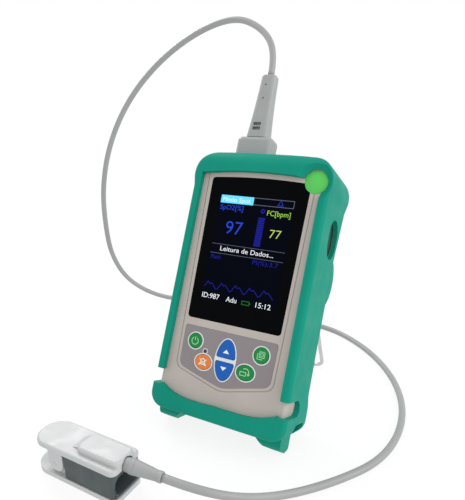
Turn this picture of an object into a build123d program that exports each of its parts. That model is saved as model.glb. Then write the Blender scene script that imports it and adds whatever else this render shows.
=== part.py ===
from build123d import *
import math
import os

# Handheld pulse oximeter in a silicone boot, leaning back on a wire stand, with a cabled finger clip.
# Millimetres. The row frame has +Z up, the display looking along -Y, and the table at Z = 0.
# The unit is drawn upright in its own frame, with the middle of the display at (0, 0, 0) on the
# front face, X to the right, Y into the unit and Z up, and is then leaned back and put in place.

os.makedirs("parts", exist_ok=True)

# ---------------------------------------------------------------- placing
LEAN = 24.7                    # degrees that the unit leans back
DISPLAY_HEIGHT = 96.3          # middle of the display above the table
UNIT_X = 15.275                # middle of the display from the row's origin
UNIT_Y = 14.4
CLIP_MOUTH = (-1.875, -71.1)    # middle of the clip's open end on the table, from the row's origin
CLIP_YAW = -1.6                # degrees

# ---------------------------------------------------------------- housing
HOUSING_HALF = 36.3            # half width
HOUSING_TOP = 48.6
HOUSING_BOTTOM = -85.5
HOUSING_BACK = 30.0            # depth at the grip
HOUSING_BACK_TOP = 35.0        # depth behind the sensor socket
PARTING = 11.2                 # depth of the line between the two shells
FRONT_WALL = 2.2
SIDE_WALL = 2.0
REAR_FLOOR = 26.3              # inner face of the back wall

# ---------------------------------------------------------------- window and display
WINDOW_TOP_HALF = 28.3
WINDOW_BOTTOM_HALF = 27.0
WINDOW_TOP = 37.5
WINDOW_CROWN = 1.2             # rise of the window's top edge
WINDOW_BOTTOM = -40.1
WINDOW_THICK = 1.45
DISPLAY_WIDTH = 43.2           # lit area of a 2.8 inch display
DISPLAY_TALL = 57.6
FIT = 0.1                      # gap round pieces that are let into another

# ---------------------------------------------------------------- keypad
OVERLAY_TOP = -44.3
OVERLAY_BOTTOM = -66.2         # where the sides turn into the shallow V
OVERLAY_POINT = -73.0          # lowest point of the V
OVERLAY_TOP_HALF = 27.0
OVERLAY_BOTTOM_HALF = 26.4
OVERLAY_SINK = 0.35
OVERLAY_PROUD = 0.12
KEY_GAP = 0.2                  # gap between a key and its hole
KEY_FRONT = -0.9
KEY_BODY = 2.4
KEY_FLANGE = 3.3
FLANGE_LIP = 0.6
RING_WIDTH = 0.6
RING_FRONT = -0.42
DOME_FRONT = 4.15
BOARD_FRONT = 4.8
BOARD_BACK = 6.4
POWER_KEY = (-19.2, -52.0)
DISPLAY_KEY = (19.2, -51.6)
MUTE_KEY = (-12.3, -62.0)
MENU_KEY = (12.3, -62.0)
ROCKER = (0.0, -58.3)
ROCKER_HALF = (5.4, 10.6)
ROCKER_SPLIT = 1.1             # half the gap between the up and the down key
STATUS_LED = (-12.4, -56.3)

# ---------------------------------------------------------------- alarm lens
LENS_AT = (30.6, 38.8)
LENS_R = 6.0
LENS_DOME = 1.7
LENS_HEAD = 0.9                # how deep the wide head is let into the face
LENS_BARREL = 5.0

# ---------------------------------------------------------------- boot
BOOT_HALF = 38.5               # half width between the hood and the band
HOOD_HALF = 39.6
BAND_HALF = 39.3
BOOT_TOP = 52.2
BOOT_CROWN = 1.2
BOOT_BOTTOM = -91.0
BOOT_FRONT = -3.2
BOOT_BACK = 33.4
BOOT_BACK_TOP = 38.6
BOOT_BACK_LOW = 34.4
LIP_INNER = 33.9               # half width between the front lips
LIP_END = -70.5                # where the side lips stop
BAND_TOP = -77.6               # upper edge of the bottom band at its ends
BAND_SAG = 5.0
HOOD_EDGE = 39.2               # lower edge of the hood at its ends
HOOD_CROWN = 2.2
NOTCH_DEPTH = 15.0
POCKET_R = 10.6                # of the scoop round the lens, at the hood's front
POCKET_FLOOR = -0.6

# ---------------------------------------------------------------- data port in the right side
PORT_AT = (20.2, 14.0)         # depth and height of its middle
PORT_BAY = (16.4, 21.0)
PORT_CONNECTOR = (7.0, 14.0)
PORT_FLOOR = 35.5              # from the middle of the unit

# ---------------------------------------------------------------- stand
PIVOT_DEPTH = 34.8
PIVOT_HEIGHT = -8.0
WIRE_R = 1.2
BAIL_HALF = 26.5
BAIL_LENGTH = 82.0
BAIL_PIN_END = 34.6
HUMP_INNER = 29.6

# ---------------------------------------------------------------- battery
CELL_R = 7.1
CELL_PITCH = 14.7
CELL_LOW = -64.4
CELL_HIGH = -13.9
CELL_DEPTH = 21.0
BAY_HALF = 23.0
BAY_LOW = -70.0
BAY_HIGH = -8.0
BAY_FLOOR = 13.6
COVER_HALF = 23.8
COVER_SEAT = 28.5
COVER_OUT = 30.3
COVER_TRAVEL = 9.0

# ---------------------------------------------------------------- plug and cord
PLUG_X = -14.3
PLUG_DEPTH = 18.0
PLUG_BASE_HALF = 10.9
PLUG_BASE_THICK = 12.0
PLUG_BASE_LOW = 49.2
PLUG_BASE_TOP = 66.4
HANDLE_TOP = 104.0
CORD_R = 1.9

# ---------------------------------------------------------------- finger clip
CLIP_LENGTH = 53.0
CLIP_HALF = 9.65
CLIP_BASE = 3.1                # height of the lower shell
CLIP_RIM_LOW = 16.0
CLIP_RIM_TOP = 18.3
CLIP_RIDGE_TOP = 21.0
CLIP_PIN = (-36.0, 10.0)       # x and height of the hinge pin
CLIP_PIN_R = 1.0
PIN_PLAY = 0.05
RELIEF_HEIGHT = 16.8
RELIEF_END = 18.0
RELIEF_DROOP = 1.5             # degrees down
RELIEF_YAW = 4.0               # degrees to the back

nodes = {}


def front(depth):
    """Sketch plane that looks at the unit's face, at a depth."""
    return Plane(origin=(0, depth, 0), x_dir=(1, 0, 0), z_dir=(0, -1, 0))


def prism(outline, near, far):
    """A face outline carried from one depth to another."""
    return extrude(front(far) * outline, amount=far - near)


def slab(profile, left, right):
    """A side profile, drawn as (depth, height), carried across the width."""
    plane = Plane(origin=(left, 0, 0), x_dir=(0, 1, 0), z_dir=(1, 0, 0))
    return extrude(plane * profile, amount=right - left)


def block(x, y, z):
    """A box between pairs of limits."""
    size = (x[1] - x[0], y[1] - y[0], z[1] - z[0])
    middle = ((x[0] + x[1]) / 2, (y[0] + y[1]) / 2, (z[0] + z[1]) / 2)
    return Pos(*middle) * Box(*size)


def rod(x, z, radius, near, far):
    """A round bar along the depth."""
    return prism(Pos(x, z) * Circle(radius), near, far)


def bar_x(y, z, radius, left, right):
    """A round bar across the width."""
    return slab(Pos(y, z) * Circle(radius), left, right)


def rounded(points, radii):
    """A closed outline with its own radius at each corner."""
    return make_face(FilletPolyline(*points, radius=radii, close=True).edges())


def crowned(half_top, half_bottom, top, crown, bottom, corner):
    """An outline with straight sides and a top edge that rises in the middle."""
    arc = ThreePointArc((-half_top, top), (0, top + crown), (half_top, top))
    sides = Polyline((half_top, top), (half_bottom, bottom), (-half_bottom, bottom), (-half_top, top))
    face = make_face(arc.edges() + sides.edges())
    return fillet(face.vertices(), corner)


# ---------------------------------------------------------------- outlines
def housing_outline(grow=0.0):
    half = HOUSING_HALF + grow
    low = HOUSING_BOTTOM - grow
    high = HOUSING_TOP + grow
    points = [(-half, low), (half, low), (half, high), (-half, high)]
    return rounded(points, [5 + grow, 5 + grow, 8 + grow, 8 + grow])


def housing_profile(grow=0.0, back_grow=None):
    back = grow if back_grow is None else back_grow
    low = HOUSING_BOTTOM - grow
    high = HOUSING_TOP + grow
    points = [
        (-grow, low),
        (HOUSING_BACK + back, low),
        (HOUSING_BACK + back, 8),
        (HOUSING_BACK_TOP + back, 32),
        (HOUSING_BACK_TOP + back, high),
        (-grow, high),
    ]
    return rounded(points, [0, 4, 30, 30, 5, 0])


def envelope(grow=0.0, back_grow=None):
    """The closed outer form of the two housing shells, or an offset of it."""
    width = HOUSING_HALF + abs(grow) + 5
    return prism(housing_outline(grow), -grow, 60) & slab(housing_profile(grow, back_grow), -width, width)


def window_outline(grow=0.0):
    return crowned(
        WINDOW_TOP_HALF + grow, WINDOW_BOTTOM_HALF + grow,
        WINDOW_TOP + grow, WINDOW_CROWN, WINDOW_BOTTOM - grow, 1.8 + grow,
    )


def overlay_outline(grow=0.0):
    points = [
        (-OVERLAY_TOP_HALF - grow, OVERLAY_TOP + grow),
        (-OVERLAY_BOTTOM_HALF - grow, OVERLAY_BOTTOM - grow),
        (0, OVERLAY_POINT - grow),
        (OVERLAY_BOTTOM_HALF + grow, OVERLAY_BOTTOM - grow),
        (OVERLAY_TOP_HALF + grow, OVERLAY_TOP + grow),
    ]
    return rounded(points, [1.5, 4.5, 14, 4.5, 1.5])


def groove_outline(grow):
    """The fine line that runs round the window and the keypad together."""
    top = 43.5 + grow
    points = [
        (-30.9 - grow, top),
        (-28.3 - grow, -67.4 - grow),
        (0, -74.8 - grow),
        (28.3 + grow, -67.4 - grow),
        (30.9 + grow, top),
    ]
    return rounded(points, [3, 5, 14, 5, 3])


def key_outlines():
    """Each key's outline, as a function of how far it is grown."""
    def disc(centre, half_x, half_z):
        return lambda grow: Pos(*centre) * Ellipse(half_x + grow, half_z + grow)

    def half_oval(sign):
        def outline(grow):
            oval = Ellipse(ROCKER_HALF[0] + grow, ROCKER_HALF[1] + grow)
            tall = 2 * ROCKER_HALF[1]
            keep = Pos(0, sign * (ROCKER_SPLIT - grow + tall / 2)) * Rectangle(40, tall)
            half = oval & keep
            return Pos(*ROCKER) * fillet(half.vertices(), 0.9 + grow)
        return outline

    return {
        "key_power": disc(POWER_KEY, 4.0, 4.0),
        "key_display": disc(DISPLAY_KEY, 4.1, 4.1),
        "key_alarm_mute": disc(MUTE_KEY, 4.7, 3.9),
        "key_menu": disc(MENU_KEY, 4.9, 3.9),
        "key_up": half_oval(1),
        "key_down": half_oval(-1),
    }


# ---------------------------------------------------------------- housing shells
SCREW_SPOTS = [(-32.0, -79.6), (32.0, -79.6), (-31.6, 43.6), (21.0, 43.6)]


def make_front_housing():
    shell = envelope() & block((-60, 60), (-1, PARTING), (-120, 80))
    face_edges = shell.faces().sort_by(Axis.Y)[0].edges()
    shell = fillet(face_edges, 1.8)
    shell -= prism(housing_outline(-SIDE_WALL), FRONT_WALL, PARTING + 1)
    for x, z in SCREW_SPOTS:
        shell += rod(x, z, 2.8, FRONT_WALL - 0.2, PARTING)
    for x, z in SCREW_SPOTS:
        shell -= rod(x, z, 1.05, 5.0, PARTING + 1)
    shell &= envelope()
    shell -= prism(window_outline(FIT), -1, WINDOW_THICK + 0.05)
    shell -= prism(RectangleRounded(DISPLAY_WIDTH + 3, DISPLAY_TALL + 3, 1), 0, FRONT_WALL + 1)
    shell -= prism(overlay_outline(FIT), -1, OVERLAY_SINK)
    for outline in key_outlines().values():
        shell -= prism(outline(KEY_GAP), -1, FRONT_WALL + 1)
    shell -= rod(*STATUS_LED, 1.1, -1, FRONT_WALL + 1)
    shell -= rod(*LENS_AT, LENS_R + FIT, -1, LENS_HEAD + 0.05)
    shell -= rod(*LENS_AT, LENS_BARREL + FIT, -1, 9.0)
    groove = prism(groove_outline(0.25), -1, 0.45) - prism(groove_outline(-0.25), -1, 0.6)
    return shell - groove


def make_rear_housing():
    shell = envelope() & block((-60, 60), (PARTING, 60), (-120, 80))
    hollow = prism(housing_outline(-SIDE_WALL), PARTING - 1, REAR_FLOOR)
    shell -= hollow
    bay = block((-BAY_HALF - 1.6, BAY_HALF + 1.6), (BAY_FLOOR - 1.2, 29), (BAY_LOW - 1.6, BAY_HIGH + 1.6))
    shell += bay
    for x, z in SCREW_SPOTS:
        shell += rod(x, z, 3.2, PARTING, REAR_FLOOR + 1)
    shell &= envelope()
    shell -= block((-BAY_HALF, BAY_HALF), (BAY_FLOOR, 40), (BAY_LOW, BAY_HIGH))
    recess_low = BAY_LOW - 1.5 - COVER_TRAVEL - 0.5
    recess = Pos(0, (BAY_HIGH + 1.2 + recess_low) / 2) * RectangleRounded(
        2 * COVER_HALF + 0.6, BAY_HIGH + 1.2 - recess_low, 2)
    shell -= prism(recess, COVER_SEAT, 40)
    for x, z in SCREW_SPOTS:
        shell -= rod(x, z, 1.45, PARTING - 1, 50)
        shell -= rod(x, z, 2.6, 24.5, 50)
    half = PLUG_BASE_HALF - 0.6
    shell -= block((PLUG_X - half, PLUG_X + half), (11.5, 24.5), (36, 60))
    shell -= slab(port_bay_outline(), PORT_FLOOR - 0.5, 40)
    wide, tall = PORT_CONNECTOR
    return shell - slab(Pos(*PORT_AT) * Rectangle(wide + 0.2, tall + 0.2), 34, 40)


def make_screws():
    screws = []
    for x, z in SCREW_SPOTS:
        head = rod(x, z, 2.3, 24.5, 26.6) - rod(x, z, 1.0, 25.4, 27)
        screws.append(head + rod(x, z, 1.0, 6.0, 24.6))
    return Compound(children=screws)


# ---------------------------------------------------------------- face
def make_window():
    pane = prism(window_outline(), 0.0, WINDOW_THICK)
    pane -= rod(*LENS_AT, LENS_R + FIT, -1, 3)
    return chamfer(pane.faces().sort_by(Axis.Y)[0].edges(), 0.2)


def make_lcd():
    body = block((-24.6, 24.6), (FRONT_WALL + 0.05, 4.6), (-34.0, 33.0))
    lit = prism(Rectangle(DISPLAY_WIDTH, DISPLAY_TALL), WINDOW_THICK + 0.1, FRONT_WALL + 0.05)
    return body + lit


def make_overlay():
    sheet = prism(overlay_outline(), -OVERLAY_PROUD, OVERLAY_SINK)
    for outline in key_outlines().values():
        sheet -= prism(outline(KEY_GAP), -1, 1)
    return sheet - rod(*STATUS_LED, 1.1, -1, 1)


def make_key_rings():
    """The raised pale surrounds of the keys and of the status light, as separate rings."""
    outlines = key_outlines()
    rings = []
    for name in ("key_power", "key_display", "key_alarm_mute", "key_menu"):
        outline = outlines[name]
        rings.append(prism(outline(KEY_GAP + RING_WIDTH) - outline(KEY_GAP), RING_FRONT, -OVERLAY_PROUD))
    grown = KEY_GAP + RING_WIDTH
    oval = Pos(*ROCKER) * Ellipse(ROCKER_HALF[0] + grown, ROCKER_HALF[1] + grown)
    for name in ("key_up", "key_down"):
        oval -= outlines[name](KEY_GAP)
    rings.append(prism(oval, RING_FRONT, -OVERLAY_PROUD))
    led = Pos(*STATUS_LED) * (Circle(1.5) - Circle(1.1))
    rings.append(prism(led, -0.25, -OVERLAY_PROUD))
    return Compound(children=rings)


def make_key(outline):
    cap = prism(outline(0), KEY_FRONT, KEY_BODY)
    cap = fillet(cap.faces().sort_by(Axis.Y)[0].edges(), 0.45)
    flange = prism(outline(FLANGE_LIP), KEY_BODY, KEY_FLANGE)
    box = flange.bounding_box()
    middle = box.center()
    return cap + flange + rod(middle.X, middle.Z, 1.4, KEY_FLANGE, KEY_FLANGE + 0.15)


def make_status_led():
    pipe = rod(*STATUS_LED, 1.0, -0.35, BOARD_FRONT)
    return fillet(pipe.faces().sort_by(Axis.Y)[0].edges(), 0.3)


def make_dome_sheet():
    sheet = prism(Pos(0, -58) * RectangleRounded(52, 27, 2), DOME_FRONT, BOARD_FRONT)
    return sheet - rod(*STATUS_LED, 1.15, 3, 6)


def make_alarm_lens():
    barrel = rod(*LENS_AT, LENS_R, 0.0, LENS_HEAD) + rod(*LENS_AT, LENS_BARREL, 0.0, 4.4)
    ball_r = (LENS_R ** 2 + LENS_DOME ** 2) / (2 * LENS_DOME)
    ball = Pos(LENS_AT[0], ball_r - LENS_DOME, LENS_AT[1]) * Sphere(ball_r)
    dome = ball & rod(*LENS_AT, LENS_R, -3, 0.5)
    return barrel + dome


# ---------------------------------------------------------------- inside
def make_main_board():
    board = prism(Pos(0, -18.5) * RectangleRounded(67.0, 113, 2), BOARD_FRONT, BOARD_BACK)
    for x, z in SCREW_SPOTS:
        board -= rod(x, z, 3.1, 4, 7)
    return board


def make_board_parts():
    """Chips and cans on the back of the main board."""
    spots = [
        ((-8, 4), (4, 16), 1.6), ((-26, -14), (-4, 8), 2.4), ((12, 26), (-12, 2), 2.0),
        ((-22, -12), (-34, -24), 1.4), ((4, 14), (-40, -28), 1.4), ((18, 28), (-60, -44), 2.8),
    ]
    parts = [block(x, (BOARD_BACK, BOARD_BACK + tall), z) for x, z, tall in spots]
    return Compound(children=parts)


def make_spo2_module():
    board = block((-30, 2), (13.0, 14.2), (-3.0, 30))
    can = block((-26, -8), (14.2, 17.4), (2, 24))
    connector = block((-7, 0), (14.2, 18), (8, 22))
    legs = [rod(x, z, 1.5, BOARD_BACK, 13.0) for x in (-28, 0) for z in (-0.8, 28)]
    module = board + can + connector
    for leg in legs:
        module += leg
    return module


def make_speaker():
    basket = rod(20, 16, 9, 20.0, REAR_FLOOR)
    magnet = rod(20, 16, 5.5, 15.5, 20.0)
    return basket + magnet


def make_alarm_led():
    lamp = block((28.6, 32.6), (4.5, 5.1), (38.6, 41.0))
    return lamp + block((27.9, 33.3), (5.1, BOARD_BACK), (38.2, 42))


def make_socket():
    half = PLUG_BASE_HALF - 0.8
    body = block((PLUG_X - half, PLUG_X + half), (11.7, 24.3), (36.2, HOUSING_TOP - 0.1))
    return body - block((PLUG_X - 8, PLUG_X + 8), (PLUG_DEPTH - 4.2, PLUG_DEPTH + 4.2), (40.5, 60))


def make_cells():
    cells = []
    for index in (-1, 0, 1):
        axis = (index * CELL_PITCH, CELL_DEPTH)
        can = Pos(*axis, (CELL_LOW + CELL_HIGH - 1.4) / 2) * Cylinder(CELL_R, CELL_HIGH - 1.4 - CELL_LOW)
        can = chamfer(can.edges(), 0.5)
        button = Pos(*axis, CELL_HIGH - 0.8) * Cylinder(2.7, 1.5)
        cells.append(can + button)
    return Compound(children=cells)


def make_contacts():
    plates = []
    for index in (-1, 0, 1):
        x = index * CELL_PITCH
        plates.append(block((x - 5, x + 5), (15, 26.5), (BAY_HIGH - 0.6, BAY_HIGH - 0.1)))
        plates.append(block((x - 5, x + 5), (15, 26.5), (BAY_LOW + 0.1, BAY_LOW + 0.6)))
        for step, radius in enumerate((4.6, 4.0, 3.4)):
            ring = Pos(x, CELL_DEPTH, BAY_LOW + 1.3 + 1.5 * step) * Torus(radius, 0.4)
            plates.append(ring)
    return Compound(children=plates)


def make_battery_cover():
    low = BAY_LOW - 1.0
    high = BAY_HIGH + 0.8
    plate = prism(Pos(0, (low + high) / 2) * RectangleRounded(2 * COVER_HALF, high - low, 1.8),
                  COVER_SEAT + 0.1, COVER_OUT)
    plate = fillet(plate.faces().sort_by(Axis.Y)[-1].edges(), 0.6)
    for step in range(5):
        z = high - 8 - 2.4 * step
        plate += prism(Pos(0, z) * SlotOverall(22 - 2 * step, 1.2), COVER_OUT - 0.3, COVER_OUT + 0.5)
    return plate


def port_bay_outline(inset=0.0):
    """The upright slot in the side, drawn as (depth, height)."""
    wide, tall = PORT_BAY
    return Pos(*PORT_AT) * Rot(0, 0, 90) * SlotOverall(tall - 2 * inset, wide - 2 * inset)


def make_data_port():
    """A dark cup that lines the bay in the housing's side, with the connector in its floor."""
    wide, tall = PORT_CONNECTOR
    cup = slab(port_bay_outline(0.1), PORT_FLOOR - 0.5, HOUSING_HALF - 0.05)
    cup -= slab(port_bay_outline(0.6), PORT_FLOOR, HOUSING_HALF + 1)
    body = cup + slab(Pos(*PORT_AT) * Rectangle(wide, tall), 33.8, PORT_FLOOR - 0.4)
    return body - slab(Pos(*PORT_AT) * RectangleRounded(4.6, 10.5, 0.8), 34.4, 40)


# ---------------------------------------------------------------- boot
def boot_front_outline():
    """The boot from the front: a waist between a slightly wider hood and band."""
    corner = 13.0
    drop = BOOT_TOP - corner
    crown = ThreePointArc((-HOOD_HALF + corner, BOOT_TOP), (0, BOOT_TOP + BOOT_CROWN),
                          (HOOD_HALF - corner, BOOT_TOP))
    right = RadiusArc((HOOD_HALF - corner, BOOT_TOP), (HOOD_HALF, drop), corner)
    left = RadiusArc((-HOOD_HALF, drop), (-HOOD_HALF + corner, BOOT_TOP), corner)
    side = [(HOOD_HALF, drop), (HOOD_HALF, 37.5), (BOOT_HALF, 32), (BOOT_HALF, -70), (BAND_HALF, -76),
            (BAND_HALF, BOOT_BOTTOM)]
    turns = [12, 12, 12, 12, 8]
    other = [(-x, z) for x, z in side[::-1]]
    rest = FilletPolyline(*side, *other, radius=turns + turns[::-1])
    return make_face(crown.edges() + right.edges() + left.edges() + rest.edges())


def boot_profile():
    points = [
        (BOOT_FRONT, BOOT_BOTTOM),
        (BOOT_BACK_LOW, BOOT_BOTTOM),
        (BOOT_BACK, -52),
        (BOOT_BACK, 2),
        (BOOT_BACK_TOP, 34),
        (BOOT_BACK_TOP, BOOT_TOP + BOOT_CROWN + 0.2),
        (BOOT_FRONT, BOOT_TOP + BOOT_CROWN + 0.2),
    ]
    return rounded(points, [0, 0, 60, 40, 40, 0, 9.5])


def face_opening():
    """What the boot leaves open at the front, between the hood, the lips and the band."""
    top = ThreePointArc((-LIP_INNER, HOOD_EDGE), (0, HOOD_EDGE + HOOD_CROWN), (LIP_INNER, HOOD_EDGE))
    knee = 25.0
    low = Spline((LIP_INNER, BAND_TOP), (knee, BAND_TOP - 0.72 * BAND_SAG), (0, BAND_TOP - BAND_SAG),
                 (-knee, BAND_TOP - 0.8 * BAND_SAG), (-LIP_INNER, BAND_TOP))
    right = Line((LIP_INNER, HOOD_EDGE), (LIP_INNER, BAND_TOP))
    left = Line((-LIP_INNER, BAND_TOP), (-LIP_INNER, HOOD_EDGE))
    return make_face(top.edges() + right.edges() + low.edges() + left.edges())


def foot(sign):
    """One of the two feet under the band, sloped on its inner side."""
    points = [(35.8 * sign, -84), (35.8 * sign, -100.5), (31.0 * sign, -100.5), (18.5 * sign, -89), (18.5 * sign, -84)]
    if sign < 0:
        points.reverse()
        radii = [0, 0, 5, 3.5, 0]
    else:
        radii = [0, 3.5, 5, 0, 0]
    outline = rounded(points, radii)
    profile = rounded([(4.6, -84), (4.6, -95.4), (19.5, -100.2), (19.5, -84)], [0, 4, 1.2, 0])
    return prism(outline, 0, 30) & slab(profile, -60, 60)


def hump(sign):
    """The bulge on the back that carries one end of the stand's wire."""
    radius = 15.5
    profile = Pos(39.0 - radius, PIVOT_HEIGHT) * Circle(radius)
    ends = sorted((sign * HUMP_INNER, sign * BOOT_HALF))
    body = slab(profile, *ends) & block((-60, 60), (30.2, 60), (-60, 40))
    outer = body.faces().sort_by(Axis.X)[-1 if sign > 0 else 0]
    edges = outer.edges().filter_by(GeomType.CIRCLE)
    return fillet(edges, 2.5)


def make_boot():
    body = prism(boot_front_outline(), BOOT_FRONT, 60) & slab(boot_profile(), -60, 60)
    sides = [edge for edge in body.edges() if abs(edge.center().X) > BOOT_HALF - 0.5]
    body = fillet([edge for edge in sides if edge.center().Y > 30], 4)
    sides = [edge for edge in body.edges() if abs(edge.center().X) > BOOT_HALF - 0.1]
    body = fillet([edge for edge in sides if abs(edge.center().Y - BOOT_FRONT) < 0.3], 2.5)
    for sign in (-1, 1):
        body += foot(sign)
        body += hump(sign)
    body -= envelope(FIT)
    body -= prism(face_opening(), -10, 1)
    for sign in (-1, 1):
        ends = sorted((sign * 33.5, sign * 50))
        notch = rounded([(-6, BAND_TOP - 1.0), (NOTCH_DEPTH, BAND_TOP - 1.0), (NOTCH_DEPTH, LIP_END), (-6, LIP_END)],
                        [0, 3.5, 3.5, 0])
        body -= slab(notch, *ends)
        strap_slot = Pos(19.5, -85.4) * SlotOverall(14.5, 4.2)
        body -= slab(strap_slot, *sorted((sign * 34, sign * 50)))
    scoop = Cone(LENS_R + 0.5, POCKET_R, POCKET_FLOOR - BOOT_FRONT + 0.3)
    body -= Pos(LENS_AT[0], (POCKET_FLOOR + BOOT_FRONT - 0.3) / 2, LENS_AT[1]) * Rot(90, 0, 0) * scoop
    body -= rod(*LENS_AT, LENS_R + 0.3, -10, LENS_HEAD + 0.1)
    body -= slab(port_bay_outline(), 34, 50)
    top_hole = Pos(PLUG_X, 0, 0) * block((-11.9, 11.9), (PLUG_DEPTH - 6.9, PLUG_DEPTH + 6.9), (40, 70))
    body -= fillet(top_hole.edges().filter_by(Axis.Z), 3.5)
    low = BAY_LOW - 1.5 - COVER_TRAVEL - 0.6
    body -= prism(Pos(0, (low - 5) / 2) * RectangleRounded(49.5, -5 - low, 5), 29, 50)
    for sign in (-1, 1):
        ends = sorted((sign * (HUMP_INNER - 1), sign * (BAIL_PIN_END + 0.4)))
        body -= bar_x(PIVOT_DEPTH, PIVOT_HEIGHT, WIRE_R + PIN_PLAY, *ends)
    return body


# ---------------------------------------------------------------- stand
def place_unit(shape):
    """Lean the upright unit back and stand it on the table."""
    return Pos(UNIT_X, UNIT_Y, DISPLAY_HEIGHT) * Rot(-LEAN, 0, 0) * shape


def pivot_point():
    lean = math.radians(LEAN)
    y = UNIT_Y + PIVOT_HEIGHT * math.sin(lean) + PIVOT_DEPTH * math.cos(lean)
    z = DISPLAY_HEIGHT + PIVOT_HEIGHT * math.cos(lean) - PIVOT_DEPTH * math.sin(lean)
    return (UNIT_X, y, z)


def make_bail():
    """One bent wire, drawn hanging straight down from its pivots and then swung out to the table."""
    points = [(BAIL_PIN_END, 0, 0), (BAIL_HALF, 0, 0), (BAIL_HALF, 0, -BAIL_LENGTH), (-BAIL_HALF, 0, -BAIL_LENGTH),
              (-BAIL_HALF, 0, 0), (-BAIL_PIN_END, 0, 0)]
    path = FilletPolyline(*points, radius=[2.6, 6, 6, 2.6])
    wire = sweep(Plane(path @ 0, z_dir=path % 0) * Circle(WIRE_R), path=path)
    pivot = pivot_point()
    swing = math.degrees(math.acos((pivot[2] - WIRE_R) / BAIL_LENGTH))
    print("stand: swing from vertical %.2f deg, pivot %s" % (swing, [round(v, 3) for v in pivot]))
    return Pos(*pivot) * Rot(swing, 0, 0) * wire


# ---------------------------------------------------------------- plug
def make_plug_hood():
    x = (PLUG_X - PLUG_BASE_HALF, PLUG_X + PLUG_BASE_HALF)
    y = (PLUG_DEPTH - PLUG_BASE_THICK / 2, PLUG_DEPTH + PLUG_BASE_THICK / 2)
    hood = block(x, y, (PLUG_BASE_LOW, PLUG_BASE_TOP))
    hood = fillet(hood.edges().filter_by(Axis.Z), 3.2)
    return fillet(hood.faces().sort_by(Axis.Z)[-1].edges(), 2.8)


def make_plug_handle():
    sections = []
    for z, wide, thick in ((PLUG_BASE_TOP, 13.4, 9.0), (82, 11.0, 8.0), (HANDLE_TOP, 9.2, 7.0)):
        plane = Plane(origin=(PLUG_X, PLUG_DEPTH, z), x_dir=(1, 0, 0), z_dir=(0, 0, 1))
        sections.append(plane * RectangleRounded(wide, thick, 2.6))
    handle = loft(sections)
    handle = fillet(handle.faces().sort_by(Axis.Z)[-1].edges(), 1.5)
    for z in (70.4, 73.0):
        handle -= block((PLUG_X - 3.2, PLUG_X + 1.6), (PLUG_DEPTH - 6, PLUG_DEPTH - 2.0), (z, z + 2.0))
    for z in (89.5, 97.5):
        handle -= rod(PLUG_X - 0.5, z, 0.5, PLUG_DEPTH - 6, PLUG_DEPTH - 2.4)
    return handle


def make_plug_shell():
    outer = block((PLUG_X - 7.6, PLUG_X + 7.6), (PLUG_DEPTH - 3.8, PLUG_DEPTH + 3.8), (41.2, PLUG_BASE_LOW))
    return outer - block((PLUG_X - 7.0, PLUG_X + 7.0), (PLUG_DEPTH - 3.2, PLUG_DEPTH + 3.2), (40, 47.0))


# ---------------------------------------------------------------- finger clip
def place_clip(shape):
    """Lay the clip on the table: its own frame has X from the tongue to the mouth and Z up."""
    return Pos(*CLIP_MOUTH, 0) * Rot(0, 0, CLIP_YAW) * shape


def clip_outline(inset=0.0):
    """Plan of a clip shell: a full round at the tongue and small corners at the mouth."""
    half = CLIP_HALF - inset
    points = [(-CLIP_LENGTH + inset, -half), (-inset, -half), (-inset, half), (-CLIP_LENGTH + inset, half)]
    return rounded(points, [half - 0.01, 3.2, 3.2, half - 0.01])


def lug(y_low, y_high, z_low, z_high):
    """A hinge ear round the pin with a web to its shell."""
    x, z = CLIP_PIN
    plane = Plane(origin=(0, y_high, 0), x_dir=(1, 0, 0), z_dir=(0, -1, 0))
    thick = y_high - y_low
    ear = extrude(plane * (Pos(x, z) * Circle(4.6)), amount=thick)
    web = block((x - 4.6, x + 4.6), (y_low, y_high), (z_low, z_high))
    return ear + web


def pin_hole(radius):
    x, z = CLIP_PIN
    return Pos(x, 0, z) * Rot(90, 0, 0) * Cylinder(radius, 40)


def thumb_dish():
    """The long shallow hollow on the tongue."""
    half, deep = 8.4, 2.2
    radius = (half ** 2 + deep ** 2) / (2 * deep)
    height = CLIP_RIM_TOP + radius - deep
    near, far = -37.5, CLIP_HALF - CLIP_LENGTH
    trough = Pos((near + far) / 2, 0, height) * Rot(0, 90, 0) * Cylinder(radius, near - far)
    return trough + Pos(near, 0, height) * Sphere(radius) + Pos(far, 0, height) * Sphere(radius)


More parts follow.
